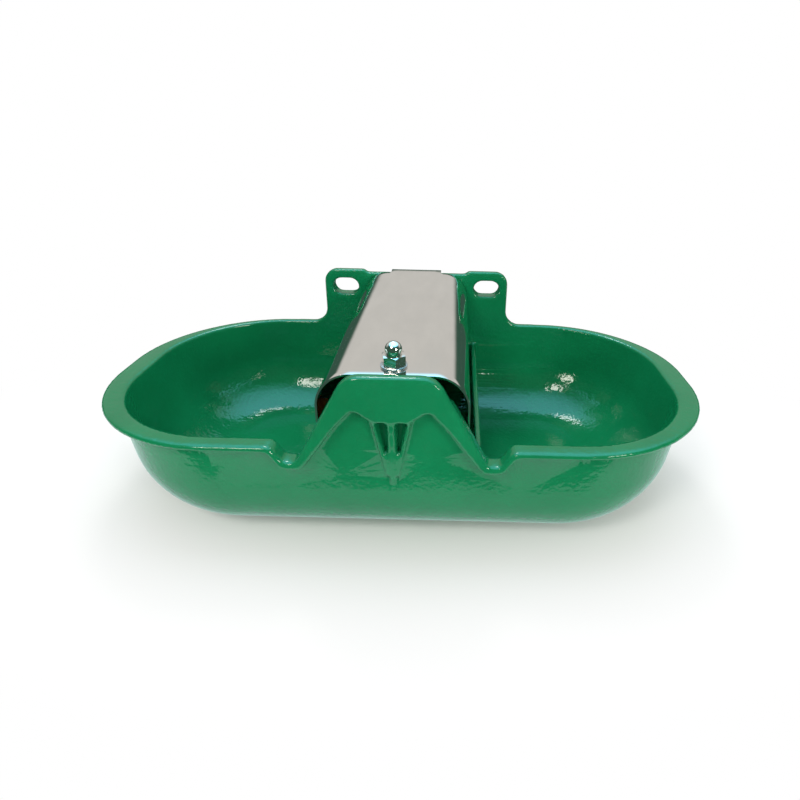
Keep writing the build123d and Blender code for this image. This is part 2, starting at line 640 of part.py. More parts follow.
def valve_cap():
    """Slotted guide cap, screwed into the barrel."""
    cap = y_cylinder(CAP_DIAMETER, CAP_FRONT, BARREL_FRONT, z=VALVE_AXIS)
    cap = chamfer(cap.edges().group_by(Axis.Y)[0], 0.8)
    cap += y_cylinder(BARREL_BORE - 2 * THREAD_CLEARANCE, BARREL_FRONT - 1, CAP_REAR, z=VALVE_AXIS)
    cap -= Pos(0, CAP_FRONT, VALVE_AXIS) * Box(2.0, 2.4, 2 * CAP_DIAMETER)
    return cap - y_cylinder(PLUNGER_STEM + 2 * RUNNING, CAP_FRONT - 5, CAP_REAR + 1, z=VALVE_AXIS)


def valve_plunger():
    """Guided head with a pocket for the seal, and a stem through the cap."""
    plunger = y_cylinder(BARREL_BORE - 2 * RUNNING, PLUNGER_FRONT, PLUNGER_REAR, z=VALVE_AXIS)
    stem = y_cylinder(PLUNGER_STEM, STEM_FRONT, PLUNGER_FRONT + 1, z=VALVE_AXIS)
    plunger += chamfer(stem.edges().group_by(Axis.Y)[0], 0.6)
    pocket = y_cylinder(SEAL_DIAMETER, PLUNGER_REAR - SEAL_POCKET, PLUNGER_REAR + 1, z=VALVE_AXIS)
    return plunger - pocket


def plunger_seal():
    return y_cylinder(SEAL_DIAMETER, PLUNGER_REAR - SEAL_POCKET, SEAL_REAR, z=VALVE_AXIS)


# ---------------------------------------------------------------- float lever
def lever_plate():
    """Hub, short arm and bent bar, with the valve closed."""
    hub = x_cylinder(HUB_DIAMETER, -HUB_HALF, HUB_HALF, PIVOT_Y, PIVOT_Z)
    tongue_near = FLOAT_Y + TONGUE_LENGTH / 2
    tongue_far = FLOAT_Y - TONGUE_LENGTH / 2
    bar_side = make_face(Polyline(
        (tongue_far, FLOAT_TOP), (tongue_near, FLOAT_TOP), (PIVOT_Y, PIVOT_Z - LEVER_BAR / 2),
        (PIVOT_Y, PIVOT_Z + LEVER_BAR / 2), (tongue_near - 1, LEVER_TOP), (tongue_far, LEVER_TOP),
        close=True))
    bar = along_x(bar_side, -LEVER_WIDTH / 2, LEVER_WIDTH / 2)
    tip = bar.edges().filter_by(Axis.Z).group_by(Axis.Y)[0]
    bar = fillet(tip, LEVER_WIDTH / 2 - 0.5)
    bar -= z_cylinder(FLOAT_SCREW + 0.6, FLOAT_TOP - 5, LEVER_TOP + 5, 0, FLOAT_Y)
    return hub + bar


def float_lever():
    lever = swung(lever_plate(), SWING)
    arm_top = VALVE_AXIS + SHORT_ARM_ABOVE
    arm = Pos(0, PIVOT_Y, (PIVOT_Z + arm_top) / 2) * Box(2 * SHORT_ARM_HALF, SHORT_ARM, arm_top - PIVOT_Z)
    corners = arm.edges().filter_by(Axis.Y).group_by(Axis.Z)[-1]
    lever += fillet(corners, 3)
    tail_top = VALVE_AXIS - BARREL_DIAMETER / 2 - 0.3
    tail_rear = BARREL_FRONT + 4
    tail = make_face(Polyline((PIVOT_Y, PIVOT_Z + 2.5), (BARREL_FRONT - 2, tail_top), (tail_rear, tail_top),
                              (tail_rear, tail_top - 4), (PIVOT_Y, PIVOT_Z - 3), close=True))
    lever += along_x(tail, -4, 4)
    lever -= x_cylinder(PIN_DIAMETER + 2 * RUNNING, -30, 30, PIVOT_Y, PIVOT_Z)
    lever -= y_cylinder(SCREW_DIAMETER + 2 * THREAD_CLEARANCE, ARM_FRONT - 5, ARM_REAR + 5, z=VALVE_AXIS)
    return lever


def pivot_pin():
    inner = HUB_HALF + CHEEK_GAP + CHEEK
    head_end = -inner - PIN_HEAD_THICKNESS
    pin = x_cylinder(PIN_DIAMETER, head_end, inner + PIN_TAIL, PIVOT_Y, PIVOT_Z)
    pin += x_cylinder(PIN_HEAD, head_end, -inner, PIVOT_Y, PIVOT_Z)
    return pin - z_cylinder(SPLIT_PIN + 0.1, PIVOT_Z - 10, PIVOT_Z + 10, split_pin_x(), PIVOT_Y)


def split_pin_x():
    return HUB_HALF + CHEEK_GAP + CHEEK + 0.3 + SPLIT_PIN


def pivot_split_pin():
    """Split pin with an eye above and a straight shank through the pivot pin."""
    reach = PIN_DIAMETER / 2 + 3
    side = 0.4 * SPLIT_PIN
    eye = Pos(PIVOT_Y, PIVOT_Z + reach + 1) * (Circle(EYE_DIAMETER / 2) - Circle(EYE_DIAMETER / 2 - SPLIT_PIN))
    loop = along_x(eye, split_pin_x() - side, split_pin_x() + side)
    return loop + z_cylinder(SPLIT_PIN, PIVOT_Z - reach, PIVOT_Z + reach - 0.4, split_pin_x(), PIVOT_Y)


def adjust_screw():
    """Slotted screw whose tip pushes the plunger."""
    head_rear = ARM_FRONT - SCREW_NUT - 1.5
    head_front = head_rear - SCREW_HEAD_LENGTH
    screw = y_cylinder(SCREW_DIAMETER, head_rear - 1, SCREW_TIP, z=VALVE_AXIS)
    screw = chamfer(screw.edges().group_by(Axis.Y)[-1], 0.8)
    screw += y_cylinder(SCREW_HEAD, head_front, head_rear, z=VALVE_AXIS)
    return screw - Pos(0, head_front, VALVE_AXIS) * Box(2 * SCREW_HEAD, 2.6, 1.2)


def adjust_lock_nut():
    nut = y_hexagon(SCREW_NUT_FLATS, ARM_FRONT - SCREW_NUT, ARM_FRONT, VALVE_AXIS)
    return nut - y_cylinder(SCREW_DIAMETER + 2 * THREAD_CLEARANCE, ARM_FRONT - SCREW_NUT - 1, ARM_FRONT + 1,
                            z=VALVE_AXIS)


def float_block():
    block = Pos(0, FLOAT_Y, FLOAT_Z) * Box(FLOAT_WIDTH, FLOAT_LENGTH, FLOAT_HEIGHT)
    block = fillet(block.edges().filter_by(Axis.Z), 2 * FLOAT_RADIUS)
    ends = block.edges().group_by(Axis.Z)
    block = chamfer(ends[0] + ends[-1], FLOAT_RADIUS / 3)
    low = FLOAT_Z - FLOAT_HEIGHT / 2
    block -= z_cylinder(FLOAT_SCREW + 0.6, low - 1, FLOAT_TOP + 1, 0, FLOAT_Y)
    block -= z_cylinder(FLOAT_SCREW_HEAD + 0.6, low - 1, low + FLOAT_SCREW_HEAD_HEIGHT, 0, FLOAT_Y)
    return swung(block, SWING)


def float_screw():
    low = FLOAT_Z - FLOAT_HEIGHT / 2
    screw = z_cylinder(FLOAT_SCREW_HEAD, low, low + FLOAT_SCREW_HEAD_HEIGHT, 0, FLOAT_Y)
    screw += z_cylinder(FLOAT_SCREW, low, LEVER_TOP + FLOAT_SCREW_ABOVE, 0, FLOAT_Y)
    return swung(screw, SWING)


def float_washer():
    disc = z_cylinder(FLOAT_WASHER, LEVER_TOP, LEVER_TOP + FLOAT_WASHER_THICKNESS, 0, FLOAT_Y)
    hole = z_cylinder(FLOAT_SCREW + 0.4, LEVER_TOP - 1, LEVER_TOP + 5, 0, FLOAT_Y)
    return swung(disc - hole, SWING)


def float_nut():
    seat = LEVER_TOP + FLOAT_WASHER_THICKNESS
    nut = extrude(Pos(0, FLOAT_Y, seat) * RegularPolygon(FLOAT_NUT_FLATS / 2, 6, major_radius=False),
                  FLOAT_NUT)
    nut -= z_cylinder(FLOAT_SCREW + 2 * THREAD_CLEARANCE, seat - 1, seat + FLOAT_NUT + 1, 0, FLOAT_Y)
    return swung(nut, SWING)


PIECES = {
    "bowl_casting": bowl_casting,
    "float_cover": float_cover,
    "cover_stud": cover_stud,
    "cover_washer": cover_washer,
    "cover_cap_nut": cover_cap_nut,
    "valve_body": valve_body,
    "inlet_gasket": inlet_gasket,
    "inlet_washer": inlet_washer,
    "inlet_lock_nut": inlet_lock_nut,
    "inlet_strainer": inlet_strainer,
    "valve_nozzle": valve_nozzle,
    "nozzle_ring": nozzle_ring,
    "valve_cap": valve_cap,
    "valve_plunger": valve_plunger,
    "plunger_seal": plunger_seal,
    "float_lever": float_lever,
    "pivot_pin": pivot_pin,
    "pivot_split_pin": pivot_split_pin,
    "adjust_screw": adjust_screw,
    "adjust_lock_nut": adjust_lock_nut,
    "float_block": float_block,
    "float_screw": float_screw,
    "float_washer": float_washer,
    "float_nut": float_nut,
}


os.makedirs("parts", exist_ok=True)
for name, build in PIECES.items():
    piece = build()
    export_step(piece, "parts/" + name + ".step")
    box = piece.bounding_box()
    print(name, round(piece.volume), [round(v, 1) for v in (*box.min, *box.max)])
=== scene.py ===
import json
import math

import bmesh
import bpy
import numpy as np
from bpy.props import FloatProperty, FloatVectorProperty, IntProperty, PointerProperty
from mathutils import Matrix, Vector


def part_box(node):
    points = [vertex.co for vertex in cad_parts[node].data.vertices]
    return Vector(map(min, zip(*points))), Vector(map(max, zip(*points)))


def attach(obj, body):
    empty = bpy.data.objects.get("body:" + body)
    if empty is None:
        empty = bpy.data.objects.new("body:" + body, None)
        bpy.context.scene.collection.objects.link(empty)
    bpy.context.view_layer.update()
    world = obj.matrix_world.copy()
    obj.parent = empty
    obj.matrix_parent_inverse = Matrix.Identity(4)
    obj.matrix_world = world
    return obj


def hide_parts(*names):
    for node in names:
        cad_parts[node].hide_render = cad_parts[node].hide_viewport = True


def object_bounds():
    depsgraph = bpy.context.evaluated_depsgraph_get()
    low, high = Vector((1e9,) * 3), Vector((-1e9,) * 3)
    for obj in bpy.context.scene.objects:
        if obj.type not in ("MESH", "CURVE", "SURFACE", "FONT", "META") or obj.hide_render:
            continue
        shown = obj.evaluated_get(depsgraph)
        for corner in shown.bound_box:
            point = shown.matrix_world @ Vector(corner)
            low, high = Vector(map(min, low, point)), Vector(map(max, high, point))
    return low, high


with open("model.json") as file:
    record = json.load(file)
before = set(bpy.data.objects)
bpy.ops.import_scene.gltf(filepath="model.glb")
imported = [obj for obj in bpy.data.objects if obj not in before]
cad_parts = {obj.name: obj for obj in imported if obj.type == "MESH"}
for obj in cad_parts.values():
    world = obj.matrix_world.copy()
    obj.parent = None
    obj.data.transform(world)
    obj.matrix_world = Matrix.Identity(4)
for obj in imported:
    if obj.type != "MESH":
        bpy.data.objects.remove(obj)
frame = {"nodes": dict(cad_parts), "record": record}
CAD_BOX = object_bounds()
CAD_LOW, CAD_HIGH = CAD_BOX

bl_info = {
    "name": "Double drinking bowl",
    "version": (1, 0, 0),
    "blender": (4, 5, 0),
    "location": "3D View > Sidebar > Drinking Bowl",
    "description": "Dresses the packed double drinking bowl: casting, cover, valve, float and stage",
    "category": "Object",
}

# The frame of the bowl: metres, +X right along its length, +Y to the wall, +Z up.
MM = 0.001
UP = Vector((0, 0, 1))
MERGE = 0.01 * MM
BODY = {node: body for body, nodes in frame["record"]["behaviour"]["bodies"].items() for node in nodes}
SLOT = {row["node"]: row["material_slot"] for row in frame["record"]["subparts"]}


# ---------------------------------------------------------------- settings
class CastingSettings(bpy.types.PropertyGroup):
    """Sizes and finish of the enamelled casting."""

    grain: FloatProperty(name="Mesh grain", description="Edge length of the remeshed casting",
                         default=0.0016, unit="LENGTH")
    passes: IntProperty(name="Softening", description="Smoothing passes over cast edges", default=4)
    keep: FloatProperty(name="Kept faces", description="Share of the faces kept at the end",
                        default=0.33, subtype="FACTOR")
    wall: FloatProperty(name="Wall", description="Wall thickness of the bowls", default=0.006, unit="LENGTH")
    foot: FloatProperty(name="Foot radius", description="Outside radius from wall to floor",
                        default=0.060, unit="LENGTH")
    draft: FloatProperty(name="End draft", description="How much shorter each end is at the floor",
                         default=0.020, unit="LENGTH")
    rim: FloatProperty(name="Rim height", description="Floor line to the top of the flange",
                       default=0.100, unit="LENGTH")
    flange_end: FloatProperty(name="End flange", description="Flange width at the two ends",
                              default=0.020, unit="LENGTH")
    flange_front: FloatProperty(name="Front flange", description="Flange width at the front",
                                default=0.015, unit="LENGTH")
    depth: FloatProperty(name="Bowl depth", description="Front of the flange to the rear of the rim",
                         default=0.271, unit="LENGTH")
    rear_rim: FloatProperty(name="Rear rim", description="Thickness of the rear rim",
                            default=0.009, unit="LENGTH")
    corner_share: FloatProperty(name="Corner share", description="Corner radius over the depth",
                                default=0.45, subtype="FACTOR")
    hollow: FloatProperty(name="Hollow", description="Depth of the two hollows beside the middle rib",
                          default=0.0042, unit="LENGTH")
    hollow_foot: FloatProperty(name="Hollow foot", description="Height from which the hollows open upwards",
                               default=0.052, unit="LENGTH")
    colour: FloatVectorProperty(name="Enamel", description="Colour of the enamel", subtype="COLOR",
                                default=(0.0050, 0.200, 0.076))
    deep_colour: FloatVectorProperty(name="Deep enamel", description="Enamel where it lies thick",
                                     subtype="COLOR", default=(0.0038, 0.168, 0.062))
    peel: FloatProperty(name="Orange peel", description="Spacing of the orange peel",
                        default=0.0034, unit="LENGTH")


class SteelSettings(bpy.types.PropertyGroup):
    """Sizes and finish of the cover and the steel fittings."""

    sheet: FloatProperty(name="Sheet", description="Thickness of the cover", default=0.0015, unit="LENGTH")
    flat_half: FloatProperty(name="Flat", description="Half width of the flat top", default=0.030,
                             unit="LENGTH")
    slope: FloatProperty(name="Slope", description="Fall of the cover to the front",
                         default=math.radians(1.6), unit="ROTATION")
    fall: FloatProperty(name="Side height", description="Top of the cover to the foot of its sides",
                        default=0.091, unit="LENGTH")
    tongue_half: FloatProperty(name="Tongue", description="Half width of the rear tongue",
                               default=0.027, unit="LENGTH")
    gap: FloatProperty(name="Gap", description="Gap between the cover and the plate", default=0.0015,
                       unit="LENGTH")
    lip: FloatProperty(name="Lip", description="Length of the hook behind the plate", default=0.010,
                       unit="LENGTH")
    tint: FloatVectorProperty(name="Steel", description="Colour of the polished steel", subtype="COLOR",
                              default=(0.95, 0.93, 0.885))
    plain_tint: FloatVectorProperty(name="Plain steel", description="Colour of the plain steel",
                                    subtype="COLOR", default=(0.56, 0.55, 0.53))
    nut_flats: FloatProperty(name="Cap nut", description="Across the flats of the cap nut",
                             default=0.016, unit="LENGTH")
    nut_hexagon: FloatProperty(name="Hexagon height", description="Height of the hexagon",
                               default=0.008, unit="LENGTH")
    nut_height: FloatProperty(name="Nut height", description="Height of the whole cap nut", default=0.018,
                              unit="LENGTH")
    nut_dome: FloatProperty(name="Dome", description="Diameter of the dome", default=0.013, unit="LENGTH")


class ValveSettings(bpy.types.PropertyGroup):
    """Sizes and finish of the float valve and the float."""

    brass: FloatVectorProperty(name="Brass", description="Colour of the brass", subtype="COLOR",
                               default=(0.60, 0.43, 0.19))
    rubber: FloatVectorProperty(name="Rubber", description="Colour of the seals", subtype="COLOR",
                                default=(0.022, 0.022, 0.023))
    acetal: FloatVectorProperty(name="Acetal", description="Colour of the nozzle", subtype="COLOR",
                                default=(0.78, 0.78, 0.74))
    filter_tint: FloatVectorProperty(name="Filter", description="Colour of the strainer",
                                     subtype="COLOR", default=(0.05, 0.14, 0.42))
    float_tint: FloatVectorProperty(name="Float", description="Colour of the float", subtype="COLOR",
                                    default=(0.62, 0.20, 0.035))
    pipe_pitch: FloatProperty(name="Pipe pitch", description="Thread pitch of the inlet", default=0.001814,
                              unit="LENGTH")
    pipe_depth: FloatProperty(name="Pipe thread", description="Depth of the inlet thread",
                              default=0.00116, unit="LENGTH")
    pipe_crest: FloatProperty(name="Pipe crest", description="Crest radius of the inlet thread",
                              default=0.01046, unit="LENGTH")
    screw_pitch: FloatProperty(name="Screw pitch", description="Thread pitch of the adjusting screw",
                               default=0.0008, unit="LENGTH")
    screw_depth: FloatProperty(name="Screw thread", description="Depth of the adjusting screw's thread",
                               default=0.0005, unit="LENGTH")
    screw_crest: FloatProperty(name="Screw crest", description="Crest radius of the adjusting screw",
                               default=0.00249, unit="LENGTH")
    edge: FloatProperty(name="Edge", description="Broken edge of small fittings", default=0.00025,
                        unit="LENGTH")


class StageSettings(bpy.types.PropertyGroup):
    """Camera, light and floor."""

    place: FloatVectorProperty(name="Camera", description="Place of the camera", subtype="XYZ",
                               unit="LENGTH", default=(0.04369, -0.49537, 0.32845))
    heading: FloatVectorProperty(name="Heading", description="Direction the camera looks in",
                                 subtype="XYZ", default=(-0.00324, 0.91018, -0.41421))
    roll: FloatProperty(name="Roll", description="Turn of the camera about its axis",
                        default=math.radians(1.30), unit="ROTATION")
    lens: FloatProperty(name="Lens", description="Focal length on a 36 mm sensor", default=25.82)
    shift: FloatVectorProperty(name="Shift", description="Shift of the lens", size=2,
                               default=(-0.0651, -0.0450))
    floor_tint: FloatVectorProperty(name="Floor", description="Colour of the floor", subtype="COLOR",
                                    default=(0.90, 0.90, 0.90))
    fill: FloatProperty(name="Fill", description="Strength of the light from all round", default=0.50)
    fill_tint: FloatVectorProperty(name="Fill tint", description="Colour of the light from all round",
                                   subtype="COLOR", default=(1.0, 1.0, 0.96))
    room_front: FloatVectorProperty(name="Room", description="Room ahead of the bowl, as its gloss shows it",
                                    subtype="COLOR", default=(0.035, 0.085, 0.060))
    room_wall: FloatVectorProperty(name="Wall", description="Wall behind the bowl, as its gloss shows it",
                                   subtype="COLOR", default=(0.56, 0.55, 0.53))
    room_sky: FloatVectorProperty(name="Skylight", description="Skylight overhead, as the gloss shows it",
                                  subtype="COLOR", default=(1.0, 2.9, 4.1), soft_max=5.0, max=10.0)
    sheet_tone: FloatVectorProperty(name="Sheet tone", description="Colour of the pale sheet in the gloss",
                                    default=(0.72, 1.0, 1.0), subtype="COLOR")
    sheet_share: FloatProperty(name="Sheet glow", description="Share of the sheet's tone in the gloss",
                               default=0.6, subtype="FACTOR")
    sheet_edge: FloatProperty(name="Sheet edge", description="Front edge of the pale sheet, ahead of the bowl",
                              default=0.078, unit="LENGTH")


def settings(group):
    """The add-on's settings of one group."""
    return getattr(bpy.context.scene, "bowl_" + group)


# ---------------------------------------------------------------- mesh helpers
def add_piece(name, mesh, material, node):
    """A finished piece that stands for a node and rides on its body."""
    mesh.materials.clear()
    mesh.materials.append(material)
    piece = bpy.data.objects.new(name, mesh)
    bpy.context.scene.collection.objects.link(piece)
    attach(piece, BODY[node])
    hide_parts(node)
    return piece


def plain_mesh(name, made):
    """A mesh from a bmesh, shaded smooth, with its sharp marks and custom normals cleared."""
    mesh = bpy.data.meshes.new(name)
    made.to_mesh(mesh)
    made.free()
    for layer in ("custom_normal", "sharp_face", "sharp_edge"):
        if layer in mesh.attributes:
            mesh.attributes.remove(mesh.attributes[layer])
    mesh.shade_smooth()
    return mesh


def merged(node):
    """A bmesh of a CAD node with its loose triangles merged."""
    made = bmesh.new()
    made.from_mesh(frame["nodes"][node].data)
    bmesh.ops.remove_doubles(made, verts=made.verts, dist=MERGE)
    return made


def applied(mesh, *modifiers):
    """The mesh with modifiers applied, each given as (type, settings)."""
    holder = bpy.data.objects.new("holder", mesh)
    bpy.context.scene.collection.objects.link(holder)
    for kind, values in modifiers:
        modifier = holder.modifiers.new(kind, kind)
        for name, value in values.items():
            setattr(modifier, name, value)
    graph = bpy.context.evaluated_depsgraph_get()
    result = bpy.data.meshes.new_from_object(holder.evaluated_get(graph))
    bpy.data.objects.remove(holder)
    return result


def points_of(mesh):
    """The vertices of a mesh, one row each."""
    points = np.empty(len(mesh.vertices) * 3)
    mesh.vertices.foreach_get("co", points)
    return points.reshape(-1, 3)


def relaxed(mesh, points, passes):
    """Points moved half way to the mean of their neighbours, over and over."""
    ends = np.empty(len(mesh.edges) * 2, int)
    mesh.edges.foreach_get("vertices", ends)
    first, second = ends.reshape(-1, 2).T
    count = np.bincount(ends, minlength=len(points))[:, None]
    for _ in range(passes):
        total = np.empty_like(points)
        for axis in range(3):
            total[:, axis] = (np.bincount(first, points[second, axis], len(points))
                              + np.bincount(second, points[first, axis], len(points)))
        points = (points + total / count) / 2
    return points


def revolved(outline, centre, axis, steps):
    """A closed outline of (radius, distance along the axis), turned about an axis."""
    side = axis.orthogonal().normalized()
    made = bmesh.new()
    rings = []
    for radius, along in outline:
        ring = []
        for step in range(steps):
            turned = Matrix.Rotation(math.tau * step / steps, 3, axis) @ side
            ring.append(made.verts.new(centre + along * axis + radius * turned))
        rings.append(ring)
    for low, high in zip(rings, rings[1:] + rings[:1]):
        for here in range(steps):
            there = (here + 1) % steps
            made.faces.new((low[here], low[there], high[there], high[here]))
    bmesh.ops.remove_doubles(made, verts=made.verts, dist=MERGE)
    bmesh.ops.recalc_face_normals(made, faces=made.faces)
    return made


# ---------------------------------------------------------------- materials
class Finish:
    """A principled material with small helpers for its procedural parts."""

    def __init__(self, name, **values):
        self.material = bpy.data.materials.new(name)
        self.material.use_nodes = True
        self.nodes = self.material.node_tree.nodes
        self.links = self.material.node_tree.links
        self.surface = self.nodes["Principled BSDF"]
        self.coordinates = self.nodes.new("ShaderNodeTexCoord").outputs["Object"]
        for socket, value in values.items():
            self.surface.inputs[socket.replace("_", " ")].default_value = value

    def noise(self, spacing, detail=2.0, stretch=(1, 1, 1)):
        """Noise with features about spacing metres apart."""
        mapping = self.nodes.new("ShaderNodeMapping")
        mapping.inputs["Scale"].default_value = stretch
        texture = self.nodes.new("ShaderNodeTexNoise")
        texture.inputs["Scale"].default_value = 1 / spacing
        texture.inputs["Detail"].default_value = detail
        self.links.new(self.coordinates, mapping.inputs["Vector"])
        self.links.new(mapping.outputs["Vector"], texture.inputs["Vector"])
        return texture.outputs["Fac"]

    def spread(self, value, low, high):
        """A value between 0.3 and 0.7 spread from low to high."""
        spread = self.nodes.new("ShaderNodeMapRange")
        spread.inputs["From Min"].default_value = 0.3
        spread.inputs["From Max"].default_value = 0.7
        spread.inputs["To Min"].default_value = low
        spread.inputs["To Max"].default_value = high
        self.links.new(value, spread.inputs["Value"])
        return spread.outputs["Result"]

    def total(self, first, second, share):
        """The first value plus a share of the second."""
        sum_node = self.nodes.new("ShaderNodeMath")
        sum_node.operation = "MULTIPLY_ADD"
        sum_node.inputs[1].default_value = share
        self.links.new(second, sum_node.inputs[0])
        self.links.new(first, sum_node.inputs[2])
        return sum_node.outputs["Value"]

    def colour(self, value, first, second):
        """Base colour from first to second as the value goes from 0 to 1."""
        mix = self.nodes.new("ShaderNodeMix")
        mix.data_type = "RGBA"
        mix.inputs["A"].default_value = (*first, 1)
        mix.inputs["B"].default_value = (*second, 1)
        self.links.new(value, mix.inputs["Factor"])
        self.links.new(mix.outputs["Result"], self.surface.inputs["Base Color"])

    def roughness(self, value):
        self.links.new(value, self.surface.inputs["Roughness"])

    def bump(self, height, depth):
        """Relief of the height value, depth metres deep."""
        bump = self.nodes.new("ShaderNodeBump")
        bump.inputs["Distance"].default_value = depth
        bump.inputs["Strength"].default_value = 1.0
        self.links.new(height, bump.inputs["Height"])
        self.links.new(bump.outputs["Normal"], self.surface.inputs["Normal"])


def scaled(colour, share):
    """A colour made darker or lighter by a share."""
    return tuple(channel * share for channel in colour)


def once(name, make):
    """A material made the first time it is asked for."""
    return bpy.data.materials.get(name) or make(name).material


def enamel(name):
    """Gloss enamel on cast iron: orange peel over the waves of the casting."""
    casting = settings("casting")
    finish = Finish(name, Specular_IOR_Level=0.48)
    finish.colour(finish.spread(finish.noise(0.060, 3), 0, 1), casting.deep_colour, casting.colour)
    finish.roughness(finish.spread(finish.noise(0.012, 2), 0.085, 0.145))
    peel = finish.noise(casting.peel, 1)
    finish.bump(finish.total(peel, finish.noise(0.016, 2), 2.0), 0.00022)
    return finish


def polished_steel(name):
    """Mirror polished sheet with faint smears and the waves of its pressing."""
    steel = settings("steel")
    finish = Finish(name, Metallic=1.0)
    smear = finish.noise(0.016, 4, (1, 0.35, 1))
    finish.colour(finish.spread(smear, 0, 1), scaled(steel.tint, 0.93), steel.tint)
    finish.roughness(finish.spread(smear, 0.10, 0.055))
    finish.bump(finish.noise(0.034, 1), 0.00012)
    return finish


def plain_steel(name):
    """Drawn steel with a fine lengthwise grain."""
    steel = settings("steel")
    finish = Finish(name, Metallic=1.0)
    grain = finish.noise(0.0012, 3, (1, 1, 0.15))
    finish.colour(finish.spread(grain, 0, 1), scaled(steel.plain_tint, 0.8), steel.plain_tint)
    finish.roughness(finish.spread(grain, 0.34, 0.22))
    finish.bump(grain, 0.00002)
    return finish


def turned_brass(name):
    """Turned and cast brass, a little dulled."""
    brass = settings("valve").brass
    finish = Finish(name, Metallic=1.0)
    tarnish = finish.noise(0.009, 4)
    finish.colour(finish.spread(tarnish, 0, 1), scaled(brass, 0.62), brass)
    finish.roughness(finish.spread(tarnish, 0.42, 0.24))
    finish.bump(finish.noise(0.0009, 2), 0.00003)
    return finish


def seal_rubber(name):
    """Matt black rubber with a dusty bloom."""
    tint = settings("valve").rubber
    finish = Finish(name, Specular_IOR_Level=0.35)
    bloom = finish.noise(0.004, 3)
    finish.colour(finish.spread(bloom, 0, 1), tint, scaled(tint, 2.4))
    finish.roughness(finish.spread(bloom, 0.62, 0.85))
    finish.bump(finish.noise(0.0005, 1), 0.00002)
    return finish


def moulded(tint, rough):
    """A maker of moulded plastic materials in one tint."""
    def make(name):
        finish = Finish(name)
        flow = finish.noise(0.018, 3)
        finish.colour(finish.spread(flow, 0, 1), scaled(tint, 0.88), tint)
        finish.roughness(finish.spread(flow, rough, rough + 0.12))
        finish.bump(finish.noise(0.0007, 2), 0.000025)
        return finish
    return make


def finish_of(slot):
    """The material of one of the record's material slots."""
    valve = settings("valve")
    makers = {
        "enamel": enamel,
        "stainless": polished_steel,
        "stainless_plain": plain_steel,
        "brass": turned_brass,
        "rubber": seal_rubber,
        "plastic_white": moulded(valve.acetal, 0.38),
        "plastic_filter": moulded(valve.filter_tint, 0.45),
        "float_plastic": moulded(valve.float_tint, 0.32),
    }
    return once(slot + "_finish", makers[slot])


# ---------------------------------------------------------------- casting
def bowl_distance(points, grow, floor, radius):
    """Signed distance to the smooth bowl whose inner plan is grown all round."""
    casting = settings("casting")
    half = -CAD_LOW.x - casting.flange_end + grow
    front = CAD_LOW.y + casting.flange_front - grow
    rear = CAD_LOW.y + casting.depth - casting.rear_rim + grow
    corner = casting.corner_share * casting.depth - casting.flange_end + grow
    draft = casting.draft * (casting.rim - points[:, 2]) / casting.rim
    half = half - draft
    corner = corner - draft / 2
    along = np.abs(points[:, 0]) - (half - corner)
    across = np.abs(points[:, 1] - (front + rear) / 2) - ((rear - front) / 2 - corner)
    plan = np.hypot(np.maximum(along, 0), np.maximum(across, 0))
    plan = plan + np.minimum(np.maximum(along, across), 0) - corner
    below = floor + radius - points[:, 2]
    foot = np.hypot(np.maximum(plan + radius, 0), np.maximum(below, 0)) - radius
    return np.where(below > 0, foot, plan)


def drawn_to_bowl(points, grow, floor, radius, reach):
    """Points near the smooth bowl surface moved on to it, between its floor and the flange."""
    step = 0.01 * MM
    distance = bowl_distance(points, grow, floor, radius)
    near = (np.abs(distance) < reach) & (points[:, 2] < settings("casting").rim - 4 * MM)
    near &= points[:, 2] > floor + 0.2 * MM
    slope = np.stack([(bowl_distance(points[near] + offset, grow, floor, radius) - distance[near]) / step
                      for offset in np.eye(3) * step], axis=1)
    moved = points.copy()
    moved[near] -= distance[near, None] * slope / np.maximum((slope ** 2).sum(1), 0.5)[:, None]
    return moved


def eased(value, low, high):
    """Smooth step from 0 at low to 1 at high."""
    share = np.clip((value - low) / (high - low), 0, 1)
    return share * share * (3 - 2 * share)


def deepened(points):
    """The two hollows under the boss, beside the middle rib, where the front is already set back."""
    casting = settings("casting")
    x, y, z = np.abs(points[:, 0]), points[:, 1], points[:, 2]
    foot, height = casting.hollow_foot, 70 * MM
    outer = (1.2 + 12.5 * np.clip((z - foot) / height, 0, 1)) * MM
    inside = eased(x, 1.8 * MM, 3.2 * MM) * (1 - eased(x, outer - 1.4 * MM, outer))
    inside = inside * eased(z, foot, foot + 14 * MM) * (1 - eased(z, 117 * MM, 121 * MM))
    front = (y > -140.2 * MM) & (y < -136.5 * MM)
    moved = points.copy()
    moved[:, 1] += np.where(front, casting.hollow * inside, 0)
    return moved


class BOWL_OT_casting(bpy.types.Operator):
    """Enamelled casting with soft cast edges and truly round bowls"""

    bl_idname = "bowl.casting"
    bl_label = "Casting"

    def execute(self, context):
        casting = settings("casting")
        mesh = plain_mesh("casting", merged("bowl_casting"))
        mesh = applied(mesh, ("REMESH", {"mode": "VOXEL", "voxel_size": casting.grain}))
        points = points_of(mesh)
        for _ in range(2):
            points = relaxed(mesh, self.rounded(points, 0.9 * MM), casting.passes // 2)
        points = deepened(self.rounded(points, 0.6 * MM))
        points = np.clip(points, list(CAD_LOW), list(CAD_HIGH))
        mesh.vertices.foreach_set("co", points.ravel())
        mesh = applied(mesh, ("DECIMATE", {"ratio": casting.keep}))
        mesh.name = "casting_skin"
        mesh.shade_smooth()
        add_piece("casting_skin", mesh, finish_of("enamel"), "bowl_casting")
        return {"FINISHED"}

    def rounded(self, points, reach):
        """Points near the outside and the inside of the bowls moved on to their round surfaces."""
        casting = settings("casting")
        points = drawn_to_bowl(points, casting.wall, 0, casting.foot, reach)
        return drawn_to_bowl(points, 0, casting.wall, casting.foot - casting.wall, reach)


